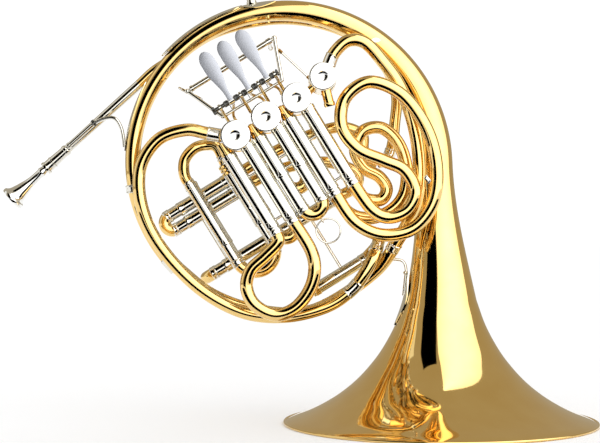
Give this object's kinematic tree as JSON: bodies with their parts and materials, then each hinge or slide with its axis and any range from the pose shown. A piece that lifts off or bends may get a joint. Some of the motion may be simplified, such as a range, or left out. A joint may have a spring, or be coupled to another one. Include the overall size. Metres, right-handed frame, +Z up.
{
  "type": "french horn",
  "caption": "Double french horn: round coiled tubing, large flared bell, rotary valves in a row worked by finger levers and a thumb lever, pull-out tuning slides and a mouthpiece.",
  "frame": {"origin": "centre of the bell's mouth, in the plane of the lower face of the rim bead that the horn stands on", "axes": "+Z up along the bell's axis, away from its mouth; -X towards the mouthpiece; -Y towards the player's side, where the valve caps and finger pads are"},
  "size_m": [0.5896, 0.31, 0.4251],
  "materials": {
    "gold_brass": "clear lacquer over polished brass",
    "nickel_silver": "polished nickel silver",
    "silver_plate": "silver plate",
    "cap_nickel": "polished nickel plate",
    "cork": "plain cork",
    "dark_steel": "dark blued steel",
    "rotor_brass": "bare machined brass"
  },
  "bodies": {
    "horn_frame": {"bell_flare": "gold_brass", "bell_rim_bead": "gold_brass", "bell_tail": "gold_brass", "tail_ferrules": "nickel_silver", "top_guard": "nickel_silver", "lyre_holder": "nickel_silver", "bell_brace": "nickel_silver", "first_branch": "gold_brass", "feed_branch": "gold_brass", "leadpipe": "nickel_silver", "leadpipe_crook": "gold_brass", "leadpipe_brace": "nickel_silver", "mouthpiece_receiver": "nickel_silver", "rear_crook": "gold_brass", "linkage_bracket": "nickel_silver", "valve_casing_1": "gold_brass", "valve_casing_2": "gold_brass", "valve_casing_3": "gold_brass", "change_valve_casing": "gold_brass", "valve_knuckles": "gold_brass", "valve_cap_1": "cap_nickel", "valve_cap_2": "cap_nickel", "valve_cap_3": "cap_nickel", "change_valve_cap": "cap_nickel", "bearing_plates": "gold_brass", "cork_bumpers": "cork", "lever_bridge": "nickel_silver", "lever_hinge_rod": "dark_steel", "lever_springs": "dark_steel", "thumb_hinge_rod": "nickel_silver", "f_slide_sleeves": "nickel_silver", "b_flat_slide_sleeves": "nickel_silver", "tuning_slide_sleeves": "nickel_silver"},
    "finger_lever_1": {"finger_lever_1": "nickel_silver"},
    "finger_lever_2": {"finger_lever_2": "nickel_silver"},
    "finger_lever_3": {"finger_lever_3": "nickel_silver"},
    "rotor_1": {"rotor_1": "rotor_brass", "stop_arm_1": "nickel_silver"},
    "rotor_2": {"rotor_2": "rotor_brass", "stop_arm_2": "nickel_silver"},
    "rotor_3": {"rotor_3": "rotor_brass", "stop_arm_3": "nickel_silver"},
    "change_rotor": {"change_rotor": "rotor_brass", "change_stop_arm": "nickel_silver"},
    "thumb_lever": {"thumb_lever": "nickel_silver"},
    "change_link": {"change_link": "nickel_silver"},
    "f_slide_1": {"f_slide_1": "gold_brass"},
    "f_slide_2": {"f_slide_2": "gold_brass"},
    "f_slide_3": {"f_slide_3": "gold_brass"},
    "b_flat_slide_1": {"b_flat_slide_1": "gold_brass"},
    "b_flat_slide_2": {"b_flat_slide_2": "gold_brass"},
    "b_flat_slide_3": {"b_flat_slide_3": "gold_brass"},
    "main_tuning_slide": {"main_tuning_slide": "gold_brass"},
    "f_tuning_slide": {"f_tuning_slide": "gold_brass"},
    "b_flat_tuning_slide": {"b_flat_tuning_slide": "gold_brass"},
    "mouthpiece": {"mouthpiece": "silver_plate"},
    "pull_ring": {"pull_ring": "nickel_silver"}
  },
  "joints": [
    {"name": "finger_lever_1_hinge", "type": "hinge", "parent": "horn_frame", "child": "finger_lever_1", "pos_m": [-0.20341, -0.058, 0.31349], "axis": [-0.8526, 0, -0.5225], "range_deg": [0, 7], "stiffness_Nm_per_rad": 0.6, "springref_deg": -8.59},
    {"name": "finger_lever_2_hinge", "type": "hinge", "parent": "horn_frame", "child": "finger_lever_2", "pos_m": [-0.18636, -0.058, 0.32394], "axis": [-0.8526, 0, -0.5225], "range_deg": [0, 7], "stiffness_Nm_per_rad": 0.6, "springref_deg": -8.59},
    {"name": "finger_lever_3_hinge", "type": "hinge", "parent": "horn_frame", "child": "finger_lever_3", "pos_m": [-0.1693, -0.058, 0.33439], "axis": [-0.8526, 0, -0.5225], "range_deg": [0, 7], "stiffness_Nm_per_rad": 0.6, "springref_deg": -8.59},
    {"name": "rotor_1_spin", "type": "hinge", "parent": "horn_frame", "child": "rotor_1", "pos_m": [-0.1995, -0.028, 0.2807], "axis": [0, 1, 0], "range_deg": [0, 90]},
    {"name": "rotor_2_spin", "type": "hinge", "parent": "horn_frame", "child": "rotor_2", "pos_m": [-0.17051, -0.028, 0.29846], "axis": [0, 1, 0], "range_deg": [0, 90]},
    {"name": "rotor_3_spin", "type": "hinge", "parent": "horn_frame", "child": "rotor_3", "pos_m": [-0.14152, -0.028, 0.31623], "axis": [0, 1, 0], "range_deg": [-90, 0]},
    {"name": "thumb_lever_hinge", "type": "hinge", "parent": "horn_frame", "child": "thumb_lever", "pos_m": [-0.20632, -0.032, 0.34924], "axis": [-0.8526, 0, -0.5225], "range_deg": [0, 15], "stiffness_Nm_per_rad": 0.6, "springref_deg": -8.59},
    {"name": "change_rotor_spin", "type": "hinge", "parent": "horn_frame", "child": "change_rotor", "pos_m": [-0.11648, -0.028, 0.33662], "axis": [0, 1, 0], "range_deg": [-90, 0]},
    {"name": "change_link_slide", "type": "slide", "parent": "horn_frame", "child": "change_link", "axis": [0.5225, 0, -0.8526], "range_m": [0, 0.012]},
    {"name": "f_slide_1_pull", "type": "slide", "parent": "horn_frame", "child": "f_slide_1", "axis": [0.5225, 0, -0.8526], "range_m": [0, 0.03]},
    {"name": "b_flat_slide_1_pull", "type": "slide", "parent": "horn_frame", "child": "b_flat_slide_1", "axis": [0.5225, 0, -0.8526], "range_m": [0, 0.02]},
    {"name": "f_slide_2_pull", "type": "slide", "parent": "horn_frame", "child": "f_slide_2", "axis": [0.5225, 0, -0.8526], "range_m": [0, 0.02]},
    {"name": "b_flat_slide_2_pull", "type": "slide", "parent": "horn_frame", "child": "b_flat_slide_2", "axis": [0.5225, 0, -0.8526], "range_m": [0, 0.014]},
    {"name": "f_slide_3_pull", "type": "slide", "parent": "horn_frame", "child": "f_slide_3", "axis": [0.5225, 0, -0.8526], "range_m": [0, 0.02]},
    {"name": "b_flat_slide_3_pull", "type": "slide", "parent": "horn_frame", "child": "b_flat_slide_3", "axis": [0.5225, 0, -0.8526], "range_m": [0, 0.006]},
    {"name": "main_tuning_slide_pull", "type": "slide", "parent": "horn_frame", "child": "main_tuning_slide", "axis": [0.5225, 0, -0.8526], "range_m": [0, 0.02]},
    {"name": "f_tuning_slide_pull", "type": "slide", "parent": "horn_frame", "child": "f_tuning_slide", "axis": [-0.8526, 0, -0.5225], "range_m": [0, 0.02]},
    {"name": "b_flat_tuning_slide_pull", "type": "slide", "parent": "horn_frame", "child": "b_flat_tuning_slide", "axis": [-0.8526, 0, -0.5225], "range_m": [0, 0.02]},
    {"name": "mouthpiece_pull", "type": "slide", "parent": "horn_frame", "child": "mouthpiece", "axis": [-0.7424, 0, -0.6699], "range_m": [0, 0.02]},
    {"name": "pull_ring_hinge", "type": "hinge", "parent": "f_slide_2", "child": "pull_ring", "pos_m": [-0.11711, -0.047, 0.19983], "axis": [0.8526, 0, 0.5225], "range_deg": [-20, 20]}
  ],
  "couplings": [
    {"joint": "rotor_1_spin", "follows": "finger_lever_1_hinge", "ratio": 12.857},
    {"joint": "rotor_2_spin", "follows": "finger_lever_2_hinge", "ratio": 12.857},
    {"joint": "rotor_3_spin", "follows": "finger_lever_3_hinge", "ratio": -12.857},
    {"joint": "change_rotor_spin", "follows": "thumb_lever_hinge", "ratio": -6},
    {"joint": "change_link_slide", "follows": "thumb_lever_hinge", "m_per_rad": 0.045455}
  ]
}
